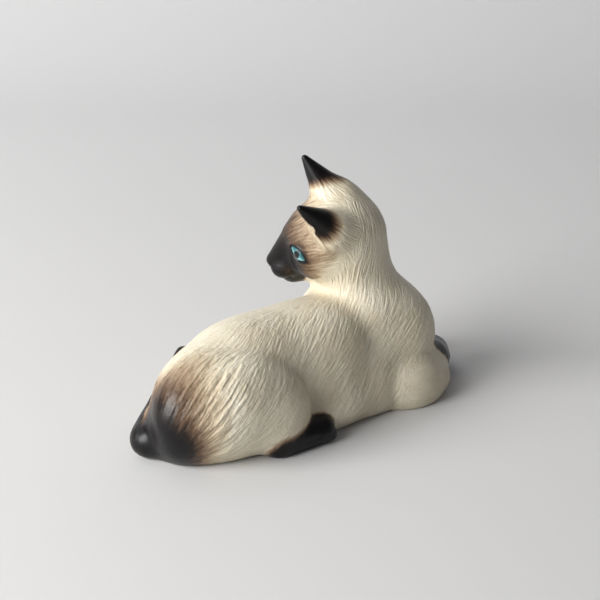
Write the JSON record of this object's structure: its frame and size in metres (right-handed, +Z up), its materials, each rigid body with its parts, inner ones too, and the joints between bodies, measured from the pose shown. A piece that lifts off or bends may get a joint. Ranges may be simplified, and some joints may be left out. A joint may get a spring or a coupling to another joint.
{
  "type": "ceramic cat figurine",
  "caption": "Glazed ceramic Siamese cat, lying with its forelegs tucked, its head turned over its left shoulder and its tail curled round its left side.",
  "frame": {"origin": "on the surface that the figurine lies on, under the middle of its bounding box", "axes": "+X from the rump to the chest, +Y to the cat's left, +Z up"},
  "size_m": [0.1541, 0.0722, 0.0972],
  "materials": {
    "cream_glaze": "clear gloss glaze over cream, shaded dark brown on the rump",
    "mask_glaze": "clear gloss glaze over cream, with a dark brown mask and blue eyes",
    "dark_glaze": "clear gloss glaze over brown-black",
    "foreleg_glaze": "clear gloss glaze over cream that shades into a brown-black paw"
  },
  "bodies": {
    "root": {"body_shell": "cream_glaze", "head": "mask_glaze", "left_ear": "dark_glaze", "right_ear": "dark_glaze", "left_foreleg": "foreleg_glaze", "right_foreleg": "foreleg_glaze", "left_hind_foot": "dark_glaze", "right_hind_foot": "dark_glaze", "tail": "dark_glaze"}
  },
  "joints": []
}
